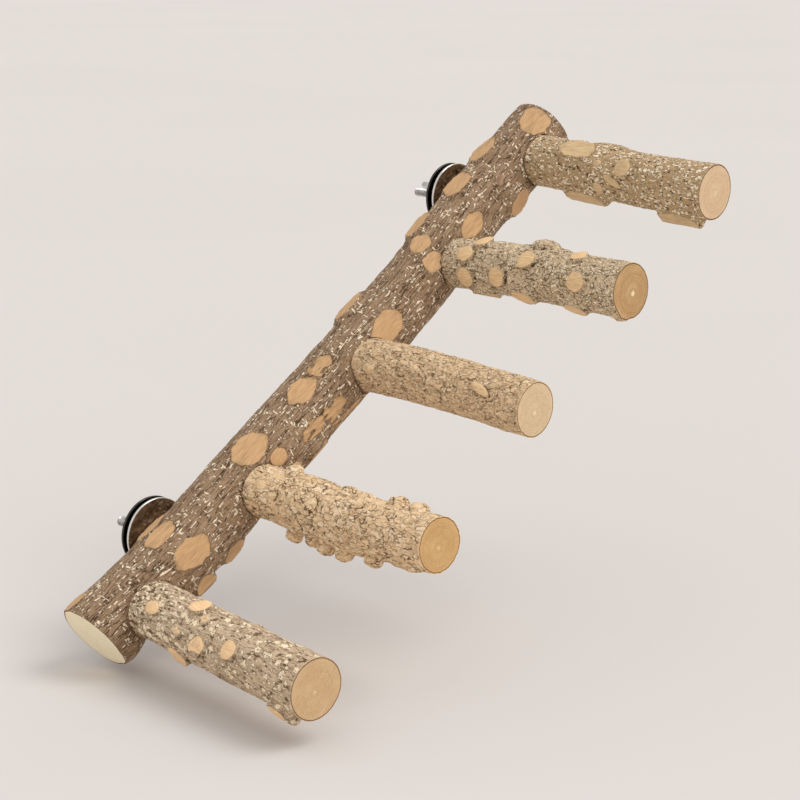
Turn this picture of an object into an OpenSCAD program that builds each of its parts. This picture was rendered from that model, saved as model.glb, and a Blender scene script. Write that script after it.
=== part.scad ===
// Bird ladder: a slanting trunk branch with five perch branches, clamped through a wire wall.
// Frame: the wall is the plane y = 0 with +Y going through it, +Z is up, +X runs along the wall.
// The origin is where the lower stud crosses the wall face of the lower outer washer.
// Perch 1 is the top perch and perch 5 the lowest one.

/* [Trunk] */
// Diameter of the trunk at its foot, over the bark
trunk_foot_d = 38.4; // [34:0.2:44]
// Diameter of the trunk at its top, over the bark
trunk_top_d = 37.8; // [34:0.2:44]
// Angle that the trunk climbs at, above level
trunk_slope = 35.3; // [20:0.1:60]
// How far the middle of the trunk bows away from the wall
trunk_bow_out = 4.2; // [0:0.1:8]
// How far the middle of the trunk sags, square to its length
trunk_bow_down = 3; // [0:0.1:6]
// Distance from the trunk's foot to perch 5
foot_end = 27.5; // [20:0.5:60]
// Distance from perch 5 to perch 4, along the trunk
step_5_to_4 = 84.5; // [75:0.5:140]
// Distance from perch 4 to perch 3, along the trunk
step_4_to_3 = 95; // [60:0.5:140]
// Distance from perch 3 to perch 2, along the trunk
step_3_to_2 = 81; // [60:0.5:140]
// Distance from perch 2 to perch 1, along the trunk
step_2_to_1 = 87.5; // [75:0.5:140]
// Distance from perch 1 to the trunk's top
top_end = 24.5; // [20:0.5:60]

/* [Perch 1] */
// Length of perch 1 from its seat to its sawn tip
perch_1_len = 121.5; // [80:0.5:160]
// Diameter of perch 1 over the bark, at the seat
perch_1_seat_d = 29; // [22:0.5:32]
// Diameter of perch 1 over the bark, at the tip
perch_1_tip_d = 30; // [22:0.5:34]
// Depth of perch 1's flat seat in the trunk
perch_1_seat_depth = 2.4; // [1:0.1:5]
// Angle that perch 1 points aside, towards the trunk's top
perch_1_swing = 2.2; // [-5:0.1:5]
// Angle that perch 1 points up
perch_1_lift = -3.7; // [-6:0.1:6]
// How far the middle of perch 1 arches up
perch_1_arch = 0; // [-3:0.1:3]

/* [Perch 2] */
// Length of perch 2 from its seat to its sawn tip
perch_2_len = 122; // [80:0.5:160]
// Diameter of perch 2 over the bark, at the seat
perch_2_seat_d = 27.5; // [22:0.5:32]
// Diameter of perch 2 over the bark, at the tip
perch_2_tip_d = 29.2; // [22:0.2:34]
// Depth of perch 2's flat seat in the trunk
perch_2_seat_depth = 1.8; // [1:0.1:5]
// Angle that perch 2 points aside, towards the trunk's top
perch_2_swing = 1; // [-5:0.1:5]
// Angle that perch 2 points up
perch_2_lift = -0.3; // [-6:0.1:6]
// How far the middle of perch 2 arches up
perch_2_arch = 1.2; // [-3:0.1:3]

/* [Perch 3] */
// Length of perch 3 from its seat to its sawn tip
perch_3_len = 117; // [80:0.5:160]
// Diameter of perch 3 over the bark, at the seat
perch_3_seat_d = 29.5; // [22:0.5:32]
// Diameter of perch 3 over the bark, at the tip
perch_3_tip_d = 28.6; // [22:0.2:34]
// Depth of perch 3's flat seat in the trunk
perch_3_seat_depth = 4.6; // [1:0.1:5]
// Angle that perch 3 points aside, towards the trunk's top
perch_3_swing = 1.9; // [-5:0.1:5]
// Angle that perch 3 points up
perch_3_lift = -2.8; // [-6:0.1:6]
// How far the middle of perch 3 arches up
perch_3_arch = 1.6; // [-3:0.1:3]

/* [Perch 4] */
// Length of perch 4 from its seat to its sawn tip
perch_4_len = 129.5; // [80:0.5:160]
// Diameter of perch 4 over the bark, at the seat
perch_4_seat_d = 27.5; // [22:0.5:32]
// Diameter of perch 4 over the bark, at the tip
perch_4_tip_d = 27.8; // [22:0.2:34]
// Depth of perch 4's flat seat in the trunk
perch_4_seat_depth = 2.4; // [1:0.1:5]
// Angle that perch 4 points aside, towards the trunk's top
perch_4_swing = -0.2; // [-5:0.1:5]
// Angle that perch 4 points up
perch_4_lift = -0.4; // [-6:0.1:6]
// How far the middle of perch 4 arches up
perch_4_arch = -0.8; // [-3:0.1:3]

/* [Perch 5] */
// Length of perch 5 from its seat to its sawn tip
perch_5_len = 128.5; // [80:0.5:160]
// Diameter of perch 5 over the bark, at the seat
perch_5_seat_d = 29.5; // [22:0.5:32]
// Diameter of perch 5 over the bark, at the tip
perch_5_tip_d = 30.4; // [22:0.2:34]
// Depth of perch 5's flat seat in the trunk
perch_5_seat_depth = 2; // [1:0.1:5]
// Angle that perch 5 points aside, towards the trunk's top
perch_5_swing = -2.4; // [-5:0.1:5]
// Angle that perch 5 points up
perch_5_lift = -2.4; // [-6:0.1:6]
// How far the middle of perch 5 arches up
perch_5_arch = 0; // [-3:0.1:3]

/* [Perch seats and screws] */
// Gap around a perch in its seat
seat_clearance = 0.7; // [0.6:0.1:1]
// Bevel around the seat end of a perch
perch_bevel = 1.4; // [0.5:0.1:2]
// Length of a perch screw over its head
screw_len = 64; // [56:1:80]
// Diameter of the screw over its thread
screw_d = 4.5; // [4:0.1:5]
// Gap around the screw in the trunk
screw_clearance = 0.4; // [0.2:0.1:1]
// Diameter of the screw head
screw_head_d = 8.8; // [8:0.1:10]
// How deep the head lies below the bark
screw_sink = 1.5; // [1:0.1:3]

/* [Clamps] */
// Distance from perch 5 up to the lower stud, along the trunk
low_stud_up = 39.5; // [30:0.5:44]
// Distance from perch 1 down to the upper stud, along the trunk
top_stud_down = 38.5; // [30:0.5:44]
// Diameter of the studs over their thread
stud_d = 5; // [4:1:6]
// Pitch of the studs' thread
stud_pitch = 0.8; // [0.7:0.1:1]
// Length of a stud from the wall face of the outer washer to its free end
stud_free = 31; // [28:0.5:40]
// Length of a stud's wood thread, in the trunk
stud_wood_len = 24; // [18:0.5:28]
// Diameter of the washers
washer_d = 38; // [30:0.5:40]
// Thickness of the washers
washer_t = 1.5; // [1:0.1:2]
// Gap around a stud in its washers
washer_clearance = 0.15; // [0.1:0.05:0.3]
// Space between the two washers of a clamp, for crossed wires
wire_gap = 3.2; // [2.8:0.1:6]
// Depth of the flat landings cut into the trunk's back for the outer washers
landing_depth = 1.2; // [1:0.1:2]

/* [Wing nuts] */
// Diameter of the nut's hub at its base
hub_d = 9.6; // [9:0.1:12]
// Height of the hub
hub_h = 6; // [5:0.1:8]
// Span over the wings
wing_span = 26; // [22:0.5:32]
// Height of the wings over the washer
wing_h = 13.5; // [10:0.5:15]
// Thickness of the wings
wing_t = 2.4; // [1.8:0.1:3]
// Radius of the round end of a wing
wing_end_r = 4.2; // [3:0.1:4.5]
// Angle of the wings around the stud at rest
wing_turn = 35; // [0:1:180]
// Running gap of the nut on its stud
thread_clearance = 0.05; // [0.02:0.01:0.1]

/* [Hidden] */
$fn = 48;
// Sides of a trunk ring and of a perch ring, and the distance between rings
trunk_sides = 32;
perch_sides = 28;
ring_step = 5;
// Colours as seen: bark on the trunk, bark on the perches, plated steel and yellow screws
trunk_color = [0.47, 0.36, 0.26];
perch_color = [0.66, 0.52, 0.36];
steel_color = [0.72, 0.72, 0.70];
screw_color = [0.80, 0.70, 0.42];
// How far a branch strays sideways, the length of one turn of that, and how far it strays from round
waver = 0.35;
waver_len = 150;
pinch = 0.17;
// Shares of the trunk's length over which its bow sets in and straightens out again, and by how much
bow_in = [-0.03, 0.2];
bow_back = [0.65, 0.86];
bow_undone = 0.85;
// Half length and half width of the swelling that meets the wall at a stud
swell_half_len = 15;
swell_half_width = 11;
// A pilot hole's share of its thread's radius, where the thread bites into the wood
bite = 0.8;
// Extra length of a cutter past the face it cuts
past = 1;
// Length of the cone at the end of a wood thread, in diameters
point = 1.4;
// Drive recess of a screw head
recess_w = 1.1;
recess_len = 4.6;
recess_deep = 1.4;
// Taper of a wing nut's hub, how deep a wing roots in it, how high it starts and the slant of its edges
hub_taper = 0.8;
wing_root = 1;
wing_lift = 0.8;
wing_flare = 40;
// Bevels: at a stud's free end, as deep as its thread, and on the washers' rims
stud_bevel = 0.75 * stud_pitch;
rim_bevel = 0.3;

// Columns of a knot: distance along, angle around, half length, half width, how proud, and sliced or barked.
// Around the trunk 270 is the front, 180 the upper side, 90 the wall side and 0 the lower side.
// Around a perch 90 is the top, 180 the side towards the foot and 270 the underside.
AT = 0;
AROUND = 1;
HALF_LEN = 2;
HALF_WIDTH = 3;
PROUD = 4;
CUT = 5;
SLICED = true;
BARKED = false;
trunk_knots = [
    [389, 215, 10, 8, 0.6, SLICED],
    [358, 168, 10.5, 7, 1.0, SLICED],
    [328, 177, 10.5, 7, 0.8, SLICED],
    [348, 297, 9, 8, 1.2, SLICED],
    [310, 247, 10, 5.5, 0.6, SLICED],
    [294, 160, 10, 6, 1.8, SLICED],
    [281, 195, 7, 6.5, 0.8, SLICED],
    [275.5, 231, 7, 6, 0.8, SLICED],
    [227, 243, 12, 7, 0.5, SLICED],
    [228, 158, 11, 6, 2.2, SLICED],
    [186, 199, 8, 4.5, 0.2, SLICED],
    [167, 207, 10, 6.5, 0.6, SLICED],
    [154, 318, 12, 9, 1.6, BARKED],
    [123, 206, 11.5, 8, 0.6, SLICED],
    [132, 290, 6, 6, 1.4, SLICED],
    [57.5, 189, 10, 6.5, 0.8, SLICED],
    [60, 160, 10, 5, 1.4, SLICED],
    [60, 246, 11, 7, 0.6, SLICED],
    [82, 314, 8, 6, 1.4, SLICED],
    [57, 314, 7, 6, 2.2, SLICED],
    [6, 155, 7, 6, 0.5, SLICED],
    [6, 308, 9, 8, 2.2, BARKED],
    [165, 70, 9, 6, 1.0, SLICED],
    [245, 105, 10, 6, 0.8, SLICED],
    [190, 20, 8, 6, 1.2, SLICED],
    [262, 30, 9, 6, 1.0, BARKED],
    [318, 20, 8, 6, 1.2, SLICED]
];
perch_knots = [
    [[33, 123, 13, 7, 0, SLICED], [49, 80, 13, 8, 1.8, BARKED], [38, 258, 14, 7, 3.0, SLICED],
     [103, 258, 13, 7, 4.6, SLICED], [80, 10, 9, 6, 1.5, SLICED]],
    [[62, 79, 12, 8, 4.8, BARKED], [36, 82, 16, 9, 1.0, BARKED], [26, 256, 8, 6, 1.6, SLICED],
     [57, 227, 8, 6, 0.8, SLICED], [94, 231, 8, 6, 1.2, SLICED], [16, 78, 6, 6, 0.8, SLICED],
     [86, 88, 6, 6, 1.4, SLICED], [84, 350, 7, 6, 1.5, SLICED]],
    [[89, 151, 6, 6, 0.4, BARKED], [55, 20, 7, 6, 1.0, BARKED]],
    [[60, 262, 42, 15, 1.8, BARKED], [32, 245, 6.5, 6, 6.6, BARKED], [48, 246, 9, 7, 6.2, BARKED],
     [57, 245, 8, 7, 8.4, BARKED], [71, 245, 7, 6, 7.2, BARKED], [91, 245, 7, 6, 5.6, BARKED],
     [113, 245, 10, 6, 2.2, BARKED], [38, 72, 16, 9, 1.6, BARKED], [67, 83, 9, 6, 1.4, BARKED],
     [98, 76, 5.5, 6, 3.2, BARKED], [112, 76, 5.5, 6, 3.0, BARKED], [60, 0, 8, 7, 3.0, BARKED],
     [100, 10, 7, 6, 3.0, BARKED]],
    [[42, 95, 9, 6, 0.8, SLICED], [39, 237, 8, 6, 3.4, SLICED], [117, 234, 9, 7, 4.0, BARKED],
     [56, 178, 6, 6, 0.8, SLICED], [70, 10, 8, 6, 1.4, SLICED]]
];
// A knot ends at this many half sizes; its flank falls over these, for a slice and under bark
knot_end = 1.5;
slice_flank = [0.85, 1.45];
bark_flank = [0.3, 1.4];
// How far a slice's swelling stands over its flat, the widest slice in radii, and its steepest edge
slice_brim = 1.15;
widest_slice = 0.9;
steepest_edge = 75;

// Columns of a perch: distance from the trunk's foot, length, radius at seat and tip, seat depth, turns, arch
LENGTH = 1;
SEAT_R = 2;
TIP_R = 3;
DEPTH = 4;
SWING = 5;
LIFT = 6;
ARCH = 7;
perch_5_at = foot_end;
perch_4_at = perch_5_at + step_5_to_4;
perch_3_at = perch_4_at + step_4_to_3;
perch_2_at = perch_3_at + step_3_to_2;
perch_1_at = perch_2_at + step_2_to_1;
trunk_len = perch_1_at + top_end;
PERCHES = [
    [perch_1_at, perch_1_len, perch_1_seat_d / 2, perch_1_tip_d / 2,
     perch_1_seat_depth, perch_1_swing, perch_1_lift, perch_1_arch],
    [perch_2_at, perch_2_len, perch_2_seat_d / 2, perch_2_tip_d / 2,
     perch_2_seat_depth, perch_2_swing, perch_2_lift, perch_2_arch],
    [perch_3_at, perch_3_len, perch_3_seat_d / 2, perch_3_tip_d / 2,
     perch_3_seat_depth, perch_3_swing, perch_3_lift, perch_3_arch],
    [perch_4_at, perch_4_len, perch_4_seat_d / 2, perch_4_tip_d / 2,
     perch_4_seat_depth, perch_4_swing, perch_4_lift, perch_4_arch],
    [perch_5_at, perch_5_len, perch_5_seat_d / 2, perch_5_tip_d / 2,
     perch_5_seat_depth, perch_5_swing, perch_5_lift, perch_5_arch]
];
PERCH_NUMBERS = [1 : len(PERCHES)];
CLAMPS = ["lower", "upper"];
stud_at = [perch_5_at + low_stud_up, perch_1_at - top_stud_down];

// Share of the full bow at a distance from the trunk's foot, and the place of the trunk's middle there
function bow(at) = climb(bow_in[0], bow_in[1], at / trunk_len)
    - bow_undone * climb(bow_back[0], bow_back[1], at / trunk_len);
function trunk_middle(at) = [trunk_bow_down * bow(at), -trunk_bow_out * bow(at), at];
// Radius of the bare trunk at a distance from its foot
function trunk_r(at) = (trunk_foot_d + (trunk_top_d - trunk_foot_d) * at / trunk_len) / 2;
// Distance from the trunk's straight middle to the washers' landings, the same for both clamps
landing_r = min(trunk_r(stud_at[0]), trunk_r(stud_at[1])) - landing_depth;
// Distance from the trunk's straight middle to the wall plane
trunk_back = landing_r + washer_t;
// The trunk swells towards the wall at its studs by what its bow takes away there
stud_swells = [for (at = stud_at)
    [at, 90, swell_half_len, swell_half_width, trunk_bow_out * bow(at), BARKED]];
// Distance from the trunk's middle to a perch's seat, and to the top of its screw's head
function seat_r(p) = trunk_r(p[AT]) - p[DEPTH];
function head_r(p) = trunk_r(p[AT]) - screw_sink;
stud_r = stud_d / 2;
screw_r = screw_d / 2;
screw_head_r = screw_head_d / 2;
washer_r = washer_d / 2;
washer_hole_r = stud_r + washer_clearance;
nut_hole_r = stud_r + thread_clearance;
nut_y = wire_gap + washer_t;

// Smooth climb from 0 to 1 as x goes from low to high
function climb(low, high, x) = let (k = min(max((x - low) / (high - low), 0), 1)) k * k * (3 - 2 * k);
// Turn from angle b to angle a, between -180 and 180
function turn(a, b) = (a - b + 900) % 360 - 180;
// How far a slice that is half_width wide each way stands over the round of radius r
function slice_rise(r, half_width) = r / cos(asin(min(half_width / r, widest_slice))) - r;
// Radius over one knot: a swelling, and where it is sliced, no more than the flat of the slice
function knot_r(at, angle, r, k) =
    let (away = turn(angle, k[AROUND]),
         d = norm([(at - k[AT]) / k[HALF_LEN], r * away * PI / 180 / k[HALF_WIDTH]]))
    d > knot_end ? r
    : k[CUT] ? min(
        r + (k[PROUD] + slice_rise(r, k[HALF_WIDTH])) * slice_brim
            * (1 - climb(slice_flank[0], slice_flank[1], d)),
        (r + k[PROUD]) / cos(min(abs(away), steepest_edge)))
    : r + k[PROUD] * (1 - climb(bark_flank[0], bark_flank[1], d));
// Radius of a branch with its lazy bends and its knots
function branch_r(at, angle, r, knots) =
    let (bare = r + waver * sin(360 * at / waver_len + angle) + pinch * cos(2 * angle + at))
    max(bare, max([for (k = knots) knot_r(at, angle, bare, k)]));

// A branch from its foot end to its far end along a line of middles, closed by flat sawn faces
module branch(length, foot_r, far_r, knots, sides, middle) {
    rings = ceil(length / ring_step);
    points = [for (i = [0 : rings], j = [0 : sides - 1])
        let (at = length * i / rings,
             angle = 360 * j / sides,
             r = branch_r(at, angle, foot_r + (far_r - foot_r) * i / rings, knots))
        middle(at) + r * [cos(angle), sin(angle), 0]];
    walls = [for (i = [0 : rings - 1], j = [0 : sides - 1])
        let (a = i * sides + j,
             b = i * sides + (j + 1) % sides)
        each [[a, a + sides, b], [b, a + sides, b + sides]]];
    foot = [[for (j = [0 : sides - 1]) j]];
    far = [[for (j = [sides - 1 : -1 : 0]) rings * sides + j]];
    polyhedron(points, concat(foot, walls, far));
}

// Places its children in the trunk's frame: +Z along the trunk, +Y to the wall, foot end at the origin
module on_trunk() {
    translate([0, -trunk_back, 0])
        rotate([0, 90 - trunk_slope, 0])
            translate([0, 0, -stud_at[0]])
                children();
}

// Places its children in a perch's frame: +Z out along the perch from the trunk's middle, +Y up
module on_perch(p) {
    on_trunk()
        translate(trunk_middle(p[AT]))
            rotate([0, trunk_slope - 90, 0])
                rotate([90 - p[LIFT], 0, p[SWING]])
                    children();
}

// Places its children at a stud, with +Z through the wall and the wall face at z = 0
module on_stud(which) {
    along = stud_at[which] - stud_at[0];
    translate([along * cos(trunk_slope), 0, along * sin(trunk_slope)])
        rotate([-90, 0, 0])
            children();
}

// A wood thread with its cone, pointing down from z = 0
module wood_thread(r, length) {
    cone = point * 2 * r;
    translate([0, 0, cone - length])
        cylinder(r = r, h = length - cone);
    translate([0, 0, -length])
        cylinder(r1 = 0, r2 = r, h = cone);
}

module trunk() {
    color(trunk_color)
        difference() {
            on_trunk()
                branch(trunk_len, trunk_foot_d / 2, trunk_top_d / 2, concat(trunk_knots, stud_swells),
                       trunk_sides, function(at) trunk_middle(at));
            for (p = PERCHES)
                on_perch(p)
                    perch_cuts(p);
            for (which = [0, 1])
                on_stud(which)
                    stud_cuts();
        }
}

// What a perch and its screw take out of the trunk: the seat, the screw's way through and its countersink
module perch_cuts(p) {
    translate([0, 0, seat_r(p)])
        cylinder(r = p[SEAT_R] + seat_clearance, h = trunk_foot_d);
    translate([0, 0, -head_r(p)])
        cylinder(r = screw_r + screw_clearance, h = 2 * trunk_foot_d);
    translate([0, 0, -head_r(p)])
        rotate_extrude()
            polygon([
                [0, -trunk_foot_d],
                [screw_head_r, -trunk_foot_d],
                [screw_head_r, 0],
                [0, screw_head_r]
            ]);
}

// What a clamp takes out of the trunk: the washer's landing and the wood thread's pilot hole
module stud_cuts() {
    translate([0, 0, -washer_t])
        cylinder(r = washer_r + past, h = trunk_foot_d);
    translate([0, 0, -washer_t - stud_wood_len - past])
        cylinder(r = stud_r * bite, h = stud_wood_len + 2 * past);
}

module perch(i) {
    p = PERCHES[i - 1];
    screw_end = screw_len - head_r(p);
    color(perch_color)
        on_perch(p)
            difference() {
                translate([0, 0, seat_r(p)])
                    intersection() {
                        branch(p[LENGTH], p[SEAT_R], p[TIP_R], perch_knots[i - 1], perch_sides,
                               function(at) [0, p[ARCH] * sin(180 * at / p[LENGTH]), at]);
                        bevelled_end(p[SEAT_R], p[LENGTH]);
                    }
                translate([0, 0, seat_r(p) - past])
                    cylinder(r = screw_r * bite, h = screw_end - seat_r(p) + 2 * past);
            }
}

// Takes the sharp rim off a perch's seat end
module bevelled_end(r, length) {
    wide = 2 * r;
    cylinder(r1 = r - perch_bevel, r2 = wide, h = wide - r + perch_bevel);
    translate([0, 0, wide - r + perch_bevel])
        cylinder(r = wide, h = length);
}

module perch_screw(i) {
    p = PERCHES[i - 1];
    color(screw_color)
        on_perch(p)
            translate([0, 0, -head_r(p)])
                rotate([180, 0, 0])
                    difference() {
                        union() {
                            translate([0, 0, -screw_head_r])
                                cylinder(r1 = 0, r2 = screw_head_r, h = screw_head_r);
                            wood_thread(screw_r, screw_len);
                        }
                        for (a = [0, 90])
                            rotate([0, 0, a])
                                translate([-recess_len / 2, -recess_w / 2, -recess_deep])
                                    cube([recess_len, recess_w, recess_deep + past]);
                    }
}

module hanger_bolt(which) {
    color(steel_color)
        on_stud(which) {
            translate([0, 0, -washer_t])
                wood_thread(stud_r, stud_wood_len);
            translate([0, 0, -washer_t])
                cylinder(r = stud_r, h = washer_t + stud_free - stud_bevel);
            translate([0, 0, stud_free - stud_bevel])
                cylinder(r1 = stud_r, r2 = stud_r - stud_bevel, h = stud_bevel);
        }
}

// A washer lying on z = 0, with bevelled rims
module washer() {
    rotate_extrude()
        polygon([
            [washer_hole_r, 0],
            [washer_r - rim_bevel, 0],
            [washer_r, rim_bevel],
            [washer_r, washer_t - rim_bevel],
            [washer_r - rim_bevel, washer_t],
            [washer_hole_r, washer_t]
        ]);
}

module outer_washer(which) {
    color(steel_color)
        on_stud(which)
            translate([0, 0, -washer_t])
                washer();
}

module inner_washer(which) {
    color(steel_color)
        on_stud(which)
            translate([0, 0, wire_gap])
                washer();
}

// The flat outline of one wing, out from the middle of the hub and up from its foot
module wing_outline() {
    end = [wing_span / 2 - wing_end_r, wing_h - wing_end_r];
    root = hub_d / 2 - hub_taper - wing_root;
    translate(end)
        circle(r = wing_end_r);
    polygon([
        [root, wing_lift],
        [hub_d / 2, wing_lift],
        end + wing_end_r * [cos(wing_flare), -sin(wing_flare)],
        end + wing_end_r * [-sin(wing_flare), cos(wing_flare)],
        [root, hub_h - wing_lift]
    ]);
}

module wing_nut(which) {
    color(steel_color)
        on_stud(which)
            translate([0, 0, nut_y])
                rotate([0, 0, wing_turn])
                    difference() {
                        union() {
                            cylinder(r1 = hub_d / 2, r2 = hub_d / 2 - hub_taper, h = hub_h);
                            for (side = [0, 180])
                                rotate([0, 0, side])
                                    rotate([90, 0, 0])
                                        translate([0, 0, -wing_t / 2])
                                            linear_extrude(wing_t)
                                                wing_outline();
                        }
                        translate([0, 0, -past])
                            cylinder(r = nut_hole_r, h = wing_h + 2 * past);
                    }
}

trunk();
for (i = PERCH_NUMBERS) {
    perch(i);
    perch_screw(i);
}
for (which = [0, 1]) {
    hanger_bolt(which);
    outer_washer(which);
    inner_washer(which);
    wing_nut(which);
}
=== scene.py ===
"""Bird ladder: the looks of a slanting trunk branch with five perch branches and two wing nut clamps.

Lengths are millimetres and angles are degrees until a mesh is made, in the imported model's own frame.
"""
import math
from dataclasses import dataclass

import bmesh
import bpy
import numpy as np
from mathutils import Matrix, Vector, noise


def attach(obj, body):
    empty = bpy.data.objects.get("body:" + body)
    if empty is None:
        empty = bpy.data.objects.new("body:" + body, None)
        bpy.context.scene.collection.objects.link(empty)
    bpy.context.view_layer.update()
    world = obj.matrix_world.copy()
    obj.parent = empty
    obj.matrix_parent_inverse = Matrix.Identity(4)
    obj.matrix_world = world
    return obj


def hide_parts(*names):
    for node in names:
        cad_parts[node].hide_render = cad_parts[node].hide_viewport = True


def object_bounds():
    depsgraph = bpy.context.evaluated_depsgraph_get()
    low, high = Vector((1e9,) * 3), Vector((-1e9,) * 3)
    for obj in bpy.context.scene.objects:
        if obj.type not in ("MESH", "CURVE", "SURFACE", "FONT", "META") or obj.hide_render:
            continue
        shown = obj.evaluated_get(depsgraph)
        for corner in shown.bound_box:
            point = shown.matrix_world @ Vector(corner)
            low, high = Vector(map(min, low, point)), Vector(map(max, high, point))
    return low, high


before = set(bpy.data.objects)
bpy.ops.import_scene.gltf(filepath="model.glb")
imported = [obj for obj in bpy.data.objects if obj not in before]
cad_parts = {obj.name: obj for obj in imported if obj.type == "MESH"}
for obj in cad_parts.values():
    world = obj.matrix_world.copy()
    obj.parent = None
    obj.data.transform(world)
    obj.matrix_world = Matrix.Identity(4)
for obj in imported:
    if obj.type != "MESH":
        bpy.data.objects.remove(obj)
CAD_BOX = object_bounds()
MM = 0.001

# Trunk: sizes as in the solid model
TRUNK_FOOT_R = 19.2
TRUNK_TOP_R = 18.9
TRUNK_LEN = 400
TRUNK_SLOPE = 35.3
BOW_OUT = 4.2
BOW_DOWN = 3
BOW_IN = (-0.03, 0.2)
BOW_BACK = (0.65, 0.86)
BOW_UNDONE = 0.85
WAVER = 0.35
WAVER_LEN = 150
PINCH = 0.17
SWELL_HALF_LEN = 15
SWELL_HALF_WIDTH = 11

# Clamps: studs, washers and wing nuts
CLAMPS = ("lower", "upper")
STUD_AT = (67, 337)
STUD_R = 2.5
STUD_PITCH = 0.8
STUD_FREE = 31
STUD_WOOD_LEN = 24
STUD_WOOD_PITCH = 2.2
WASHER_R = 19
WASHER_T = 1.5
WASHER_HOLE_R = 2.65
WASHER_ROUND_R = 0.5
WASHER_BEVEL = 0.2
WIRE_GAP = 3.2
LANDING_DEPTH = 1.2
HUB_R = 4.8
HUB_TAPER = 0.8
HUB_H = 6
WING_SPAN = 26
WING_H = 13.5
WING_T = 2.4
WING_END_R = 4.2
WING_LIFT = 0.8
WING_ROOT_X = 0.5
WING_TURN = 35
NUT_HOLE_R = 2.55

# Perch screws and seats
SEAT_CLEARANCE = 0.7
PERCH_BEVEL = 1.4
SCREW_LEN = 64
SCREW_R = 2.25
SCREW_PITCH = 2.2
SCREW_ROOT_R = 0.68 * SCREW_R
SCREW_SHANK_R = 1.08 * SCREW_ROOT_R
SCREW_SHANK_LEN = 0.38 * SCREW_LEN
SCREW_CLEARANCE = 0.4
SCREW_HEAD_R = 4.4
HEAD_LAND = 0.35
HEAD_SPARE = 0.2
SCREW_SINK = 1.5
# An arm of a screw's recess, and the shares of its length and width left at the floor
RECESS = (4.6, 1.1, 3.2)
RECESS_FLOOR = (0.45, 0.7)
# A wood thread's point: its length in radii, and the share of the radius at its end
POINT_LEN = 2.8
POINT_END = 0.03
# Share of a thread's radius that its pilot hole has
BITE = 0.8

# Spacing of the vertices on the trunk and on a perch
TRUNK_GRID = 0.75
PERCH_GRID = 0.52
# Sizes of the bark's forms, some stretched along the branch
FIBRE_FORM = (2.6, 2.6, 13)
TORN_FORM = (1.7, 1.7, 8)
GRIT_FORM = 2.4
LUMP_FORM = 17
FRAY_FORM = 3.2
CORK_STRETCH = np.array([1, 1, 2])
CORK_SWAY = 2.0
CORK_SWAY_FORM = 6
# Distance between the noises of two branches
SEED_STEP = 137.0
# Bark lies flatter within this distance of a sawn end
CALM_END = 5
# How much blots crowd together in places
CLUMP = 0.1

# How a knot falls away around it, in half sizes
KNOT_END = 1.6
SLICE_FLANK = (0.75, 1.5)
STUB_FLANK = (0.9, 1.25)
BARK_FLANK = (0.3, 1.4)
# A knot that is prouder or smaller than this has steep sides
STUB_PROUD = 2.5
STUB_HALF_LEN = 6.5
# Corners of a small and of a large knot's outline, and how uneven it is
SMALL_CORNERS = 0.2
LARGE_CORNERS = 0.36
FRAY = 0.11
# Place and width of the groove around a knot, in half sizes
GROOVE_AT = 1.15
GROOVE_WIDE = 0.13
# How far a cut reaches, in half sizes, and how fast its mask falls there
CUT_REACH = 1.12
CUT_FALL = 3
# A cut's plane is followed this far around the branch, in radians
CUT_TURN = 1.25
# How deep a ragged cut is torn
TORN = 1.1
# What a small bump of at least this height adds to the relief
BUMP = 0.95
BUMP_PROUD = 0.5
# How much lower a small cut bud is at its edge than in its middle
BUD_CROWN = 0.6
# Least height of the bark around a cut, and its most over a steep leaning one
RIM = 0.3
LEAN_RIM = 0.9
# The cut mask away from all cuts, and a far distance on the sawn ends
UNCUT = -2.0
FAR = 15.0


@dataclass
class Mark:
    """Marks of one kind on bark, in mm: blots where a noise is above a level, cracks along its contour
    lines, or round spots of up to the level's share of a cell. A ringed spot shows the ground again in
    its middle, and fading blots thin out over a distance from the branch's foot."""
    colour: tuple
    around: float
    along: float
    level: float
    strength: float
    height: float
    crack: bool = False
    spot: bool = False
    ringed: bool = False
    fade: float = 0.0


@dataclass
class Bark:
    """How one branch's bark looks: ground colours, the wood of its cuts, its marks, relief in mm,
    how much the fibres colour it, and its cork folds."""
    dark: tuple
    mid: tuple
    pale: tuple
    wood: tuple
    marks: tuple
    lumps: float
    fibres: float
    grit: float
    streak: float
    cork: float = 0.0
    cork_size: float = 1.0


@dataclass
class Knot:
    """A knot or cut side shoot: its place along and around, half sizes, and how proud it stands.
    A sliced one is a flat cut that can rise towards the branch's far end, or lean around the branch.
    Its outline can be twisted, a groove runs around it, deepest on the far side, and a ragged cut
    leaves patches of bark."""
    at: float
    around: float
    half_len: float
    half_wide: float
    proud: float
    sliced: bool = True
    rise: float = 0.0
    lean: float = 0.0
    twist: float = 0.0
    groove: float = 0.3
    ragged: bool = False


@dataclass
class Sawn:
    """How a sawn end looks: colours, where the pith lies in it, and how strong the rings and the saw
    marks are."""
    wood: tuple
    band: tuple
    pith: tuple
    pith_at: tuple
    rings: float
    saw: float


@dataclass
class Perch:
    """One perch: its place up the trunk, its sizes, its turns, its looks and its knots."""
    at: float
    length: float
    seat_d: float
    tip_d: float
    depth: float
    swing: float
    lift: float
    arch: float
    bark: Bark
    end: Sawn
    knots: list


def srgb(red, green, blue):
    """A display colour, 0 to 255, as the linear colour that shaders take."""
    parts = [c / 255 for c in (red, green, blue)]
    linear = [c / 12.92 if c <= 0.04045 else ((c + 0.055) / 1.055) ** 2.4 for c in parts]
    return (*linear, 1.0)


def tinted(colour, share):
    """A linear colour made darker or lighter."""
    return (*(min(1.0, c * share) for c in colour[:3]), 1.0)


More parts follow.
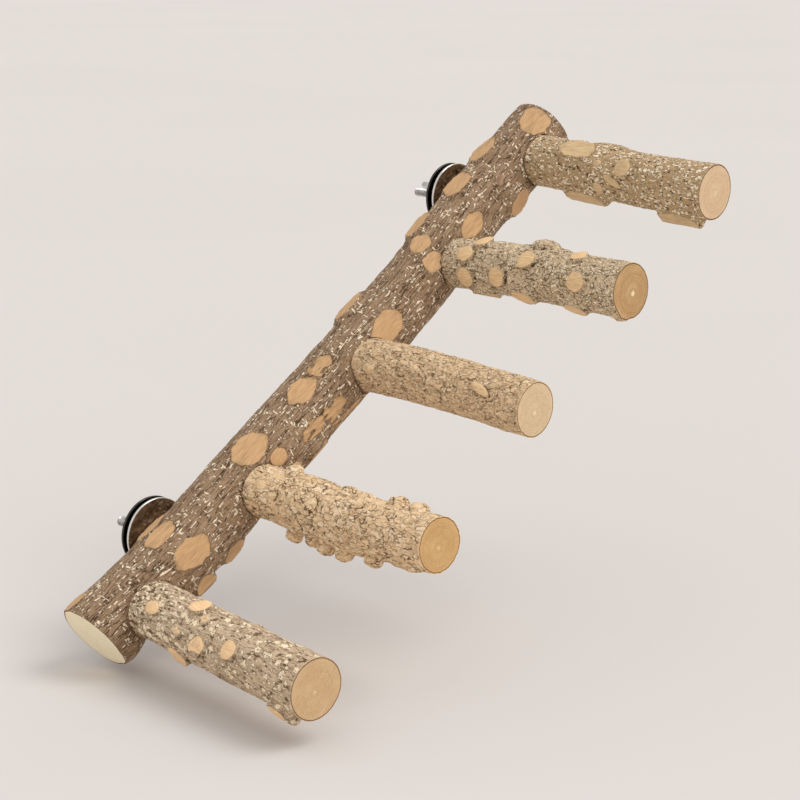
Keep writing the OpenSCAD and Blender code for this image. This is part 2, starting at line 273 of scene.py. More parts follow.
TRUNK_BARK = Bark(
    srgb(96, 71, 49), srgb(162, 132, 102), srgb(188, 158, 126), srgb(206, 165, 119),
    lumps=0.35, fibres=0.3, grit=0.15, streak=1.0, marks=(
        Mark(srgb(74, 54, 36), 2.0, 16, 0.026, 0.9, -0.5, crack=True),
        Mark(srgb(255, 234, 203), 1.5, 5.5, 0.63, 1.0, 0.5),
        Mark(srgb(253, 229, 196), 4.6, 1.5, 0.64, 1.0, 0.5),
        Mark(srgb(255, 236, 206), 2.2, 2.4, 0.665, 1.0, 0.5)))
PERCH_BARKS = (
    Bark(srgb(104, 74, 42), srgb(196, 165, 123), srgb(216, 186, 145), srgb(216, 184, 139),
         lumps=0.3, fibres=0.1, grit=0.3, streak=0.3, marks=(
             Mark(srgb(94, 67, 38), 1.9, 2.6, 0.62, 0.85, -0.5),
             Mark(srgb(254, 231, 196), 1.5, 3.4, 0.595, 1.0, 0.5),
             Mark(srgb(255, 234, 200), 1.8, 2.0, 0.6, 1.0, 0.5),
             Mark(srgb(255, 234, 200), 2.6, 3.2, 0.5, 1.0, 0.5, spot=True))),
    Bark(srgb(98, 75, 44), srgb(212, 184, 146), srgb(236, 209, 172), srgb(230, 193, 145),
         lumps=0.35, fibres=0.1, grit=0.35, cork=0.25, cork_size=2.4, streak=0.35, marks=(
             Mark(srgb(255, 233, 199), 2.1, 3.2, 0.055, 0.95, 0.6, crack=True),
             Mark(srgb(98, 75, 47), 2.4, 3.8, 0.04, 0.8, -0.7, crack=True),
             Mark(srgb(254, 230, 196), 1.5, 1.9, 0.61, 0.9, 0.4))),
    Bark(srgb(134, 99, 58), srgb(232, 199, 157), srgb(246, 216, 176), srgb(230, 195, 147),
         lumps=0.3, fibres=0.2, grit=0.25, cork=0.35, cork_size=3.2, streak=0.4, marks=(
             Mark(srgb(252, 223, 183), 2.6, 4.2, 0.57, 0.75, 0.5),
             Mark(srgb(136, 101, 62), 1.8, 7.0, 0.026, 0.5, -0.3, crack=True),
             Mark(srgb(106, 75, 41), 3.6, 6.0, 0.019, 0.8, -0.6, crack=True),
             Mark(srgb(140, 106, 68), 1.4, 2.0, 0.64, 0.4, -0.3))),
    Bark(srgb(128, 92, 51), srgb(245, 209, 164), srgb(254, 226, 187), srgb(240, 203, 156),
         lumps=0.5, fibres=0.12, grit=0.25, cork=0.7, cork_size=4.2, streak=0.25, marks=(
             Mark(srgb(254, 226, 188), 3.6, 6.0, 0.56, 0.8, 0.4),
             Mark(srgb(128, 94, 54), 2.4, 6.8, 0.022, 0.7, -0.4, crack=True),
             Mark(srgb(90, 61, 33), 5.0, 8.0, 0.016, 0.9, -0.6, crack=True))),
    Bark(srgb(122, 92, 60), srgb(214, 187, 154), srgb(230, 204, 172), srgb(244, 204, 156),
         lumps=0.35, fibres=0.25, grit=0.2, streak=0.8, marks=(
             Mark(srgb(106, 82, 56), 1.8, 11, 0.023, 0.6, -0.5, crack=True),
             Mark(srgb(92, 68, 42), 2.0, 3.8, 0.55, 0.8, -0.5, fade=35),
             Mark(srgb(255, 234, 200), 1.8, 2.8, 0.55, 1.0, 0.5, fade=80),
             Mark(srgb(255, 231, 195), 3.8, 4.6, 0.6, 1.0, 0.6, ringed=True, spot=True))),
)
# The foot end's wood is painted much lighter than the top end's: painted light on an end that faces
# away from the lamp.
FOOT_SAWN_LIGHTENED = Sawn(srgb(255, 242, 210), srgb(248, 229, 194), srgb(230, 204, 166), (1, -2), 0.4, 0.5)
TOP_SAWN = Sawn(srgb(211, 185, 148), srgb(194, 164, 124), srgb(184, 150, 108), (-1, 2), 0.4, 0.5)
PERCH_SAWN = (
    Sawn(srgb(229, 198, 160), srgb(208, 174, 134), srgb(230, 202, 164), (0.5, -0.5), 0.6, 0.2),
    Sawn(srgb(206, 168, 120), srgb(172, 130, 82), srgb(244, 220, 174), (1.5, -1.5), 0.65, 0.4),
    Sawn(srgb(226, 199, 161), srgb(208, 178, 138), srgb(240, 214, 174), (-0.5, -1.5), 0.6, 0.3),
    Sawn(srgb(219, 178, 123), srgb(192, 147, 92), srgb(230, 192, 138), (-1, -1), 0.5, 0.4),
    Sawn(srgb(216, 181, 138), srgb(194, 156, 112), srgb(228, 197, 156), (-1, -1), 0.4, 1.0),
)


def lump(*sizes, groove=0.3):
    """A knot that bark covers."""
    return Knot(*sizes, sliced=False, groove=groove)


def bud(*sizes, rise=0.2, lean=0.0, groove=1.1):
    """A cut bud: a slice that rises a little, in a deep groove."""
    return Knot(*sizes, rise=rise, lean=lean, groove=groove)


# Around the trunk 270 is the front, 180 the upper side, 90 the wall side and 0 the lower side.
# Around a perch 90 is the top, 180 the side towards the foot and 270 the underside.
TRUNK_KNOTS = [
    Knot(389, 215, 10, 8, 0.6), Knot(358, 168, 10.5, 7, 1.0), Knot(328, 177, 10.5, 7, 0.8),
    Knot(348, 297, 9, 8, 1.2), Knot(310, 247, 10, 5.5, 0.6), Knot(294, 160, 10, 6, 1.8),
    Knot(281, 195, 7.5, 5.6, 0.8), Knot(275.5, 231, 7, 5.4, 0.8), Knot(227, 243, 12, 7, 0.5),
    Knot(228, 158, 11, 6, 2.2), Knot(186, 199, 7, 5.5, -0.7, ragged=True), Knot(167, 207, 10, 6.5, 0.6),
    Knot(152, 319, 10, 7, 1.0), Knot(123, 206, 11.5, 8, 0.6), Knot(132, 290, 6, 6, 1.4),
    Knot(57.5, 191, 10, 5.6, 0.8), Knot(60, 159, 10, 4.4, 1.4), Knot(60, 246, 11, 7, 0.6),
    Knot(80, 308, 8, 4.6, 1.2, lean=-16), Knot(57, 310, 7, 4.5, 2.8, lean=-36), Knot(6, 155, 7, 6, 0.5),
    lump(6, 308, 9, 8, 2.2), Knot(165, 70, 9, 6, 1.0), Knot(245, 105, 10, 6, 0.8),
    Knot(190, 20, 8, 6, 1.2), lump(262, 30, 9, 6, 1.0), Knot(318, 20, 8, 6, 1.2),
    Knot(130, 249, 5, 4.2, 0.5), Knot(173, 268, 8, 5, -0.6, ragged=True),
    Knot(156, 265, 8.5, 4.6, -0.5, ragged=True), Knot(178, 300, 14, 8, -0.2, ragged=True),
]
PERCH_KNOTS = (
    [Knot(34, 127, 13, 6, 0.9), lump(49, 80, 13, 8, 1.8), Knot(38, 258, 14, 7, 3.0, lean=-28),
     Knot(103, 258, 13, 7, 4.6, lean=-30), Knot(80, 10, 9, 6, 1.5),
     bud(69.2, 154, 5.2, 4.8, 1.6, groove=0.9), Knot(64, 185, 7.1, 2.2, 0.8, twist=21, groove=0.7),
     bud(53.5, 207, 3.4, 3.5, 1.2, rise=0.1, groove=0.8), Knot(51, 151, 2.8, 1.9, 0.5),
     lump(40, 150, 9, 4, 0.8)],
    [lump(62, 79, 8, 7, 4.8), lump(62, 79, 16, 9, 2.2), lump(64, 92, 3, 3, 0.2, groove=1.4),
     lump(36, 82, 16, 9, 0.6), Knot(26, 256, 8, 6, 2.0),
     bud(57, 232, 8, 5.5, 1.3, rise=0.1, groove=0.9), bud(92, 239, 7, 6, 1.6, rise=0.1, groove=0.9),
     bud(23.4, 105, 4.6, 5.2, 2.2, rise=0.1, groove=0.9),
     bud(90.7, 109, 4.8, 4.3, 1.8, rise=0.1, groove=0.9), Knot(84, 350, 7, 6, 1.5),
     bud(17.3, 146, 5.6, 4.2, 2.0), bud(19.2, 197, 5.4, 5.0, 2.0), bud(42.5, 187, 5.2, 5.0, 2.0),
     bud(60.6, 141, 5.5, 4.6, 2.0), bud(97.7, 169, 5.6, 4.8, 2.0), lump(119, 246, 4, 6, 0.9)],
    [Knot(91, 154, 6.4, 2.4, 0.5, twist=18, groove=1.5), lump(55, 20, 7, 6, 1.0),
     lump(14.4, 171, 4.6, 3.2, 0.5), lump(36.3, 144, 3.6, 3.0, 0.5), lump(44.9, 150, 3.0, 2.8, 0.4),
     lump(57.1, 173, 3.6, 3.4, 0.5), lump(23.5, 116, 6.4, 2.4, 0.3, groove=1.4)],
    [lump(60, 262, 42, 15, 1.8), lump(32, 249, 4.4, 4.6, 6.4, groove=1.1),
     lump(47, 250, 5.4, 5, 5.4, groove=1.1), lump(56, 249, 4.4, 5, 7.0, groove=1.1),
     lump(69.5, 249, 4.8, 4.6, 6.6, groove=1.1), lump(90, 249, 5.2, 4.6, 5.0, groove=1.1),
     lump(113, 245, 10, 6, 2.0), lump(38, 72, 16, 9, 1.4), lump(65, 84, 6.6, 5.5, 2.2),
     lump(50, 80, 6.6, 5, 1.6), lump(76, 84, 6.6, 4.5, 1.6), lump(98, 76, 4.8, 6, 3.8),
     lump(112, 76, 4.8, 6, 3.6), lump(60, 0, 8, 7, 3.0), lump(100, 10, 7, 6, 3.0),
     Knot(12.8, 144, 3.4, 2.4, 0.6), lump(24, 83, 5, 4.6, 4.4, groove=1.0),
     lump(22.4, 154, 3, 3.5, 0.2, groove=1.3), lump(51.6, 151, 3.2, 4, 0.2, groove=1.5),
     lump(77, 119, 6.2, 3.1, 0.2, groove=1.4)],
    [bud(44, 101, 5.6, 5, 2.0, groove=0.9), Knot(38, 221, 6.2, 6, 2.0, lean=-8, groove=1.0),
     Knot(114.5, 230, 5.5, 5.5, 3.2, lean=-8, groove=0.5), lump(121.5, 240, 3.6, 5, 4.2),
     bud(57.7, 174, 5.4, 5.0, 1.7, lean=-22), Knot(70, 10, 8, 6, 1.4),
     bud(17.8, 144, 5.0, 3.4, 1.2, groove=0.9), bud(81, 153, 4.8, 4.6, 1.7, lean=-8),
     lump(54.4, 123, 4.3, 2.8, 0.5, groove=0.7), lump(39.8, 164, 4.6, 2.6, 0.7, groove=0.7)],
)
# Columns of a perch: place up the trunk, length, diameters at seat and tip, depth of the seat,
# swing, lift and arch
PERCH_SIZES = (
    (375.5, 121.5, 29, 30, 2.4, 2.2, -3.7, 0),
    (288, 122, 27.5, 29.2, 1.8, 1, -0.3, 1.2),
    (207, 117, 29.5, 28.6, 4.6, 1.9, -2.8, 1.6),
    (112, 129.5, 27.5, 27.8, 2.4, -0.2, -0.4, -0.8),
    (27.5, 128.5, 29.5, 30.4, 2, -2.4, -2.4, 0),
)
PERCHES = [Perch(*sizes, bark, end, knots)
           for sizes, bark, end, knots in zip(PERCH_SIZES, PERCH_BARKS, PERCH_SAWN, PERCH_KNOTS)]


def climb(low, high, x):
    """Smooth climb from 0 to 1 as x goes from low to high."""
    k = np.clip((x - low) / (high - low), 0, 1)
    return k * k * (3 - 2 * k)


def bow(at):
    """Share of the trunk's full bow at a distance from its foot."""
    share = at / TRUNK_LEN
    return climb(*BOW_IN, share) - BOW_UNDONE * climb(*BOW_BACK, share)


def trunk_middle(at):
    """The trunk's middle at a distance from its foot, in the trunk's frame."""
    return np.stack([BOW_DOWN * bow(at), -BOW_OUT * bow(at), at * 1.0], -1)


def trunk_r(at):
    """The trunk's radius at a distance from its foot."""
    return TRUNK_FOOT_R + (TRUNK_TOP_R - TRUNK_FOOT_R) * at / TRUNK_LEN


TRUNK_BACK = min(trunk_r(at) for at in STUD_AT) - LANDING_DEPTH + WASHER_T


def turned(degrees, axis):
    return Matrix.Rotation(math.radians(degrees), 4, axis)


def moved(x, y, z):
    return Matrix.Translation((x, y, z))


ON_TRUNK = moved(0, -TRUNK_BACK, 0) @ turned(90 - TRUNK_SLOPE, "Y") @ moved(0, 0, -STUD_AT[0])


def on_perch(perch):
    """A perch's frame: +Z out along it from the trunk's middle, +Y up."""
    middle = Matrix.Translation(Vector(trunk_middle(perch.at)))
    level = ON_TRUNK @ middle @ turned(TRUNK_SLOPE - 90, "Y")
    return level @ turned(perch.swing, "Z") @ turned(90 - perch.lift, "X")


def on_stud(which):
    """A stud's frame: +Z through the wall, with the wall face at z = 0."""
    along = STUD_AT[which] - STUD_AT[0]
    slope = math.radians(TRUNK_SLOPE)
    return moved(along * math.cos(slope), 0, along * math.sin(slope)) @ turned(-90, "X")


def seat_r(perch):
    """How far the floor of a perch's seat lies from the trunk's middle."""
    return trunk_r(perch.at) - perch.depth


def head_r(perch):
    """How far a perch screw's head lies from the trunk's middle."""
    return trunk_r(perch.at) - SCREW_SINK


class Shader:
    """A node material in the making: each method adds a node and gives its output."""

    def __init__(self, name):
        self.material = bpy.data.materials.new(name)
        self.material.use_nodes = True
        self.tree = self.material.node_tree
        self.surface = self.tree.nodes["Principled BSDF"]

    def plug(self, socket, value):
        if isinstance(value, bpy.types.NodeSocket):
            self.tree.links.new(value, socket)
        else:
            socket.default_value = value

    def give(self, name, value):
        self.plug(self.surface.inputs[name], value)

    def node(self, kind, inputs, output, **settings):
        made = self.tree.nodes.new("ShaderNode" + kind)
        for name, value in settings.items():
            setattr(made, name, value)
        for name, value in inputs.items():
            self.plug(made.inputs[name], value)
        return made.outputs[output]

    def attribute(self, name, output="Fac"):
        return self.node("Attribute", {}, output, attribute_name=name)

    def object_mm(self):
        return self.sized(self.node("TexCoord", {}, "Object"), MM, MM, MM)

    def math(self, operation, a, b=0.5):
        return self.node("Math", {0: a, 1: b}, 0, operation=operation)

    def times(self, a, b):
        return self.math("MULTIPLY", a, b)

    def vector(self, operation, a, b):
        return self.node("VectorMath", {0: a, 1: b}, 0, operation=operation)

    def sized(self, vector, x, y, z):
        """Coordinates in which a feature of x by y by z is one unit large."""
        return self.vector("MULTIPLY", vector, (1 / x, 1 / y, 1 / z))

    def ramp(self, value, low, high):
        """0 below low and 1 above high, or the other way round when low is the greater."""
        return self.node("MapRange", {"Value": value, "From Min": low, "From Max": high}, 0,
                         interpolation_type="SMOOTHSTEP")

    def part(self, value, low, high, share):
        """A ramp that reaches a share of 1."""
        return self.times(self.ramp(value, low, high), share)

    def span(self, value, low, high):
        """From low to high as a value goes from 0 to 1."""
        return self.node("MapRange", {"Value": value, "To Min": low, "To Max": high}, 0)

    def mix(self, factor, a, b):
        return self.node("Mix", {0: factor, 6: a, 7: b}, 2, data_type="RGBA")

    def noise(self, vector, size, detail=2.0, output="Fac"):
        """A noise with features of a size along x, y and z."""
        cells = self.sized(vector, *size)
        return self.node("TexNoise", {"Vector": cells, "Scale": 1.0, "Detail": detail}, output)

    def separate(self, value, part):
        return self.node("SeparateXYZ", {"Vector": value}, part)

    def warped(self, vector, size, reach):
        """Coordinates pushed about by up to half of reach, over a noise of that size."""
        push = self.noise(vector, (size, size, size), output="Color")
        centred = self.vector("SUBTRACT", push, (0.5, 0.5, 0.5))
        return self.vector("ADD", vector, self.vector("MULTIPLY", centred, (reach, reach, reach)))

    def bump(self, height, depth):
        """Bends the surface's normals by a height of 0 to 1 that stands for depth mm."""
        normal = self.node("Bump", {"Height": height, "Distance": depth * MM, "Strength": 1.0}, 0)
        self.give("Normal", normal)


def mark_mask(s, grain, patch, mark, number):
    """Where one kind of mark shows and where the painted shadow round its edge does, 0 to 1.
    Its number moves it away from other kinds."""
    place = s.vector("ADD", grain, (31 * number, 17 * number, 43 * number))
    size = (mark.around, mark.around, mark.along)
    if mark.spot:
        middle = s.node("TexVoronoi", {"Vector": s.sized(place, *size), "Scale": 1.0}, "Distance")
        reach = s.times(s.separate(middle.node.outputs["Color"], "X"), mark.level)
        uneven = s.noise(place, [0.3 * x for x in size])
        ragged = s.times(s.math("SUBTRACT", uneven, 0.55), 0.9)
        edge = s.math("ADD", s.math("SUBTRACT", reach, middle), ragged)
        mask = s.ramp(edge, 0.0, 0.06)
        if mark.ringed:
            mask = s.times(mask, s.ramp(middle, 0.07, 0.13))
        # Just outside the spot: the painted shadow round it.
        return mask, s.ramp(edge, -0.1, -0.02)
    level = s.noise(place, size, 1.5)
    if mark.crack:
        line = s.math("ABSOLUTE", s.math("SUBTRACT", level, 0.5))
        gaps = s.noise(place, (mark.around * 2, mark.around * 2, mark.along * 1.5), 1.0)
        return s.times(s.ramp(line, mark.level, mark.level * 0.5), s.ramp(gaps, 0.38, 0.46)), None
    level = s.math("ADD", level, s.times(s.math("SUBTRACT", patch, 0.5), CLUMP))
    if mark.fade:
        level = s.math("SUBTRACT", level, s.part(s.separate(grain, "Z"), 0.0, mark.fade, 0.08))
    # A band just below the blot's level: the painted shadow round it.
    rim = s.ramp(level, mark.level - 0.09, mark.level - 0.02)
    return s.ramp(level, mark.level, mark.level + 0.035), rim


def bark_material(name, bark):
    """Bark with fibres, marks, cracks and painted shade, and clean wood where a knot is sliced."""
    s = Shader(name)
    grain = s.attribute("grain", "Vector")
    relief = s.attribute("relief")
    cut = s.attribute("cut")
    loose = s.warped(grain, 1.8, 0.8)
    fibre = s.noise(loose, (0.8, 0.8, 6.0), 4.0)
    patch = s.noise(grain, (11, 11, 16))
    grit = s.noise(grain, (0.55, 0.55, 0.7), 3.0)
    streaked = s.mix(s.ramp(fibre, 0.3, 0.48), bark.dark, bark.mid)
    streaked = s.mix(s.ramp(fibre, 0.54, 0.68), streaked, bark.pale)
    ground = s.mix(bark.streak, bark.mid, streaked)
    dull, bright = s.mix(0.12, ground, bark.dark), s.mix(0.2, ground, bark.pale)
    ground = s.mix(s.ramp(patch, 0.4, 0.7), dull, bright)
    ground = s.mix(s.part(grit, 0.44, 0.3, 0.35), ground, bark.dark)
    ground = s.mix(s.part(grit, 0.54, 0.66, 0.5), ground, bark.pale)
    height = s.math("ADD", s.times(fibre, 0.5 * bark.streak), s.times(grit, 0.3))
    for number, mark in enumerate(bark.marks):
        mask, rim = mark_mask(s, loose, patch, mark, number)
        # A dark band round each blot and spot: painted shadow at the edge of the marks.
        if rim:
            ground = s.mix(s.times(rim, 0.28), ground, bark.dark)
        mask = s.times(mask, mark.strength)
        ground = s.mix(mask, ground, mark.colour)
        height = s.math("ADD", height, s.times(mask, mark.height))
    # Darker where the relief is low: painted shade in the grooves, cracks and hollows. Paler where it
    # is high: partly pale bark on the ridges, partly painted light.
    hollow_shade = s.mix(0.35, bark.dark, srgb(48, 36, 26))
    ground = s.mix(s.ramp(relief, -0.4, -0.95), ground, hollow_shade)
    ground = s.mix(s.part(relief, 0.12, 0.5, 0.6), ground, bark.pale)
    ground = s.mix(s.part(relief, 0.42, 0.7, 0.85), ground, tinted(bark.wood, 1.12))
    wood, streak = sliced_wood(s, grain, bark.wood)
    # A dark line on the bark just outside each cut, in patches: painted shadow at the cut's edge.
    cut_edge_shadow = s.mix(s.times(s.ramp(cut, -0.16, -0.02), s.ramp(patch, 0.3, 0.6)), ground, bark.dark)
    # Darker wood along the inside of each cut's edge: inner bark, and partly painted shade that rounds
    # the edge.
    inner = s.mix(s.ramp(cut, 0.0, 0.4), tinted(bark.wood, 0.68), wood)
    bare = s.ramp(cut, -0.02, 0.03)
    s.give("Base Color", s.mix(bare, cut_edge_shadow, inner))
    s.give("Roughness", s.span(bare, 0.9, 0.72))
    s.give("Specular IOR Level", 0.25)
    s.bump(s.node("Mix", {0: bare, 2: height, 3: s.times(streak, 0.06)}, 0), 1.0)
    return s.material


def sliced_wood(s, grain, colour):
    """The clean wood of a sliced knot, with faint streaks along the branch, and the streaks alone."""
    streak = s.noise(grain, (0.7, 0.7, 6.0), 4.0)
    cloud = s.noise(grain, (5, 5, 8))
    wood = s.mix(s.ramp(streak, 0.3, 0.7), tinted(colour, 0.8), tinted(colour, 1.12))
    return s.mix(s.part(cloud, 0.4, 0.7, 0.5), wood, tinted(colour, 1.06)), streak


def sawn_material(name, sawn, bark):
    """A sawn end: growth rings around the pith, saw marks, and a thin line of bark round it."""
    s = Shader(name)
    grain = s.attribute("grain", "Vector")
    ring = s.attribute("ring")
    edge = s.attribute("edge")
    sway = s.noise(grain, (7, 7, 7))
    far = s.math("ADD", ring, s.times(sway, 2.4))
    wide, thin = (s.node("TexNoise", {"W": far, "Scale": scale, "Detail": detail}, 0,
                         noise_dimensions="1D") for scale, detail in ((0.3, 1.0), (1.5, 2.0)))
    band = s.math("ADD", s.times(wide, 0.45), s.times(thin, 0.55))
    fine = s.noise(grain, (0.5, 0.5, 0.5), 3.0)
    slanted = s.node("VectorRotate", {"Vector": grain, "Angle": 0.7}, 0)
    marks = s.noise(slanted, (0.5, 14, 4), 3.0)
    cloud = s.noise(grain, (9, 9, 9))
    mottle = s.noise(grain, (1.1, 0.8, 1.1), 3.0)
    wood = s.mix(s.part(band, 0.56, 0.42, sawn.rings), sawn.wood, sawn.band)
    wood = s.mix(s.part(cloud, 0.7, 0.35, 0.4), wood, sawn.band)
    wood = s.mix(s.part(marks, 0.5, 0.66, 0.35 * sawn.saw), wood, sawn.pith)
    wood = s.mix(s.part(fine, 0.5, 0.3, 0.4), wood, sawn.band)
    wood = s.mix(s.part(mottle, 0.5, 0.34, 0.4), wood, tinted(sawn.band, 0.92))
    wood = s.mix(s.part(mottle, 0.54, 0.68, 0.3), wood, tinted(sawn.wood, 1.06))
    wood = s.mix(s.ramp(far, 2.6, 1.8), wood, sawn.pith)
    ragged = s.math("ADD", edge, s.times(s.noise(grain, (1.6, 1.6, 1.6)), 0.5))
    wood = s.mix(s.ramp(ragged, 1.15, 0.95), wood, bark.dark)
    wood = s.mix(s.ramp(ragged, 0.6, 0.4), wood, bark.mid)
    s.give("Base Color", wood)
    s.give("Roughness", s.span(fine, 0.62, 0.85))
    s.give("Specular IOR Level", 0.3)
    s.bump(s.math("ADD", s.times(marks, sawn.saw), s.times(band, 0.6)), 0.12)
    return s.material


def cut_material():
    """Fresh wood inside the seats, landings and screw holes."""
    s = Shader("cut_wood")
    streak = s.noise(s.object_mm(), (1.2, 1.2, 1.2), 4.0)
    s.give("Base Color", s.mix(s.ramp(streak, 0.35, 0.65), srgb(170, 130, 88), srgb(205, 166, 120)))
    s.give("Roughness", 0.8)
    s.bump(streak, 0.15)
    return s.material


def steel_material(name, colour, dull, rough, scratch):
    """Plated steel with cloudy patches, fine scratches and roughness that follows them."""
    s = Shader(name)
    place = s.object_mm()
    cloud = s.noise(place, (3.5, 3.5, 3.5), 3.0)
    hair = s.noise(place, (0.12, 2.5, 0.12))
    worn = s.math("ADD", s.times(cloud, 0.6), s.times(hair, 0.4))
    s.give("Base Color", s.mix(s.ramp(cloud, 0.35, 0.7), colour, dull))
    s.give("Roughness", s.node("MapRange", {"Value": worn, "From Min": 0.3, "From Max": 0.7,
                                            "To Min": rough * 0.7, "To Max": rough * 1.4}, 0))
    s.give("Metallic", 1.0)
    s.bump(hair, scratch)
    return s.material


def fractal(points, size, octaves):
    """Fractal noise, about -1 to 1, with its largest features size across."""
    return np.array([noise.fractal(q, 1.0, 2.0, octaves) for q in (points / size).tolist()])


def knot_outline(knot, number, ahead, beside, fray):
    """Where points lie from a knot's middle: along it and in all, in half sizes, and their direction.
    Blunt corners, which differ from knot to knot, and a noise make its outline uneven."""
    twist = math.radians(knot.twist)
    along = (ahead * math.cos(twist) + beside * math.sin(twist)) / knot.half_len
    aside = (beside * math.cos(twist) - ahead * math.sin(twist)) / knot.half_wide
    way = np.arctan2(aside, along)
    corners = [math.radians(72 * k + 40 * number + 20 * math.sin(k + number)) for k in range(5)]
    blunt = np.max([np.cos(way - turn) for turn in corners], 0)
    strength = SMALL_CORNERS if knot.half_len < STUB_HALF_LEN else LARGE_CORNERS
    d = np.hypot(along, aside) * (1.04 - strength + strength * blunt)
    return along, d * (1 + FRAY * fray), way


def cut_face(knot, bare, up, turn):
    """Radius of a cut's plane, up it in half sizes and at a turn from the knot's middle in radians."""
    lean = math.radians(knot.lean)
    top = (bare + knot.proud) * math.cos(lean) + knot.rise * up
    return top / np.cos(np.clip(turn - lean, -CUT_TURN, CUT_TURN))


def knot_heights(at, angle, bare, knots, fray, torn):
    """What knots do to a bare branch: its swelling, the planes of the cuts and how far they reach,
    the grooves and bumps that they add to the bark's relief, and how calm the bark is on them.
    Fray is a noise that makes their outlines uneven, and torn one that leaves bark in ragged cuts."""
    swell = np.zeros_like(bare)
    plane = np.full_like(bare, np.inf)
    limit = np.full_like(bare, UNCUT)
    scar = np.zeros_like(bare)
    bump = np.zeros_like(bare)
    calm = np.ones_like(bare)
    for number, knot in enumerate(knots):
        small, tall = knot.half_len < STUB_HALF_LEN, knot.proud > STUB_PROUD
        away = np.radians((angle - knot.around + 180) % 360 - 180)
        along, d, way = knot_outline(knot, number, at - knot.at, bare * away, fray)
        far_side = 0.55 + 0.45 * np.cos(way - 0.5)
        groove = np.exp(-((d - GROOVE_AT) / GROOVE_WIDE) ** 2)
        scar = np.minimum(scar, -knot.groove * far_side * groove)
        if not knot.sliced:
            dome = np.clip(1 - d ** 4, 0, 1) ** 0.55 if tall else 1 - climb(*BARK_FLANK, d)
            swell = np.maximum(swell, knot.proud * dome)
            if small and not tall:
                bump = np.maximum(bump, BUMP * min(1, knot.proud / BUMP_PROUD) * dome)
            continue
        face = cut_face(knot, bare, np.clip(along, -1.5, 1.5), away) + knot.ragged * TORN * torn
        if small:
            face = face - BUD_CROWN * np.minimum(d, 1.5) ** 2
        plane = np.where(d < KNOT_END, np.minimum(plane, face), plane)
        limit = np.maximum(limit, (CUT_REACH - d) * CUT_FALL)
        if knot.ragged:
            continue
        steep = small or tall
        flank = STUB_FLANK if steep else SLICE_FLANK
        brim = 1 / (1 - climb(*flank, 1.0))
        edge = np.maximum(d, 0.2)
        at_edge = cut_face(knot, bare, along / edge, away / edge)
        body = np.maximum((at_edge - bare) * brim, face - bare + RIM)
        if steep and knot.lean:
            body = np.minimum(body, knot.proud + LEAN_RIM)
        swell = np.maximum(swell, np.maximum(body, RIM) * (1 - climb(*flank, d)))
        calm = np.minimum(calm, 0.45 + 0.55 * climb(0.8, KNOT_END, d))
    return swell, plane, limit, scar + bump, calm


def branch(name, length, foot_r, far_r, middle, knots, bark, ends, place, seed, grid, bevel=0.0):
    """One branch with rough bark, sliced knots and two sawn ends, as a mesh in the model's frame."""
    rows = int(length / grid) + 1
    sides = int(2 * math.pi * foot_r / grid)
    at, angle = np.meshgrid(np.linspace(0, length, rows), np.arange(sides) * 360 / sides, indexing="ij")
    turn = np.radians(angle)
    bare = foot_r + (far_r - foot_r) * at / length
    bare = bare + WAVER * np.sin(np.radians(360 * at / WAVER_LEN) + turn)
    bare = bare + PINCH * np.cos(2 * turn + np.radians(at))
    spots = np.stack([foot_r * np.cos(turn), foot_r * np.sin(turn), at], -1).reshape(-1, 3)
    spots = spots + SEED_STEP * seed

    def rough_map(shift, size, octaves):
        return fractal(spots + shift, size, octaves).reshape(at.shape)

    fray, torn = rough_map(70, FRAY_FORM, 2), rough_map(90, TORN_FORM, 2)
    swell, plane, limit, scar, calm = knot_heights(at, angle, bare, knots, fray, torn)
    calm = calm * (0.4 + 0.6 * climb(0, CALM_END, np.minimum(at, length - at)))
    relief = bark.fibres * rough_map(0, FIBRE_FORM, 3) + bark.grit * rough_map(0, GRIT_FORM, 3)
    if bark.cork:
        sway = np.stack([fractal(spots + 50 * k, CORK_SWAY_FORM, 2) for k in (1, 2, 3)], -1)
        folds = np.abs(fractal(spots + CORK_SWAY * sway, bark.cork_size * CORK_STRETCH, 2))
        relief = relief + bark.cork * (np.minimum(folds.reshape(at.shape) / 0.25, 1) - 0.7)
    relief = relief * calm + scar * (0.7 + 0.6 * rough_map(20, 2.0, 2))
    lumps = bark.lumps * rough_map(0, LUMP_FORM, 2)
    rough = bare + swell + lumps * calm + relief
    cut = np.minimum(rough - plane, limit)
    radius = np.where(cut > 0, plane, rough)
    if bevel:
        inset = np.clip(1 - at / bevel, 0, 1)
        radius = radius - bevel * (1 - np.sqrt(1 - inset ** 2))
    around = radius[..., None] * np.stack([np.cos(turn), np.sin(turn), 0 * turn], -1)
    grain = around + np.stack([0 * at, 0 * at, at], -1)
    mesh = BranchMesh(middle(at) + around, grain, relief, np.clip(cut, UNCUT, -UNCUT))
    for end, sawn, slot in zip((0, rows - 1), ends, (1, 2)):
        mesh.cap(end, middle(at[end, 0]), sawn, slot)
    materials = [bark_material(name + "_bark", bark)]
    materials += [sawn_material(f"{name}_end_{n}", sawn, bark) for n, sawn in enumerate(ends)]
    return mesh.build(name, place, materials)


def tube_faces(rows, sides):
    """The faces between rings of vertices that are numbered ring by ring."""
    first = np.arange((rows - 1) * sides).reshape(-1, sides)
    beside = np.roll(first, -1, 1)
    return np.stack([first, beside, beside + sides, first + sides], -1).reshape(-1, 4).tolist()


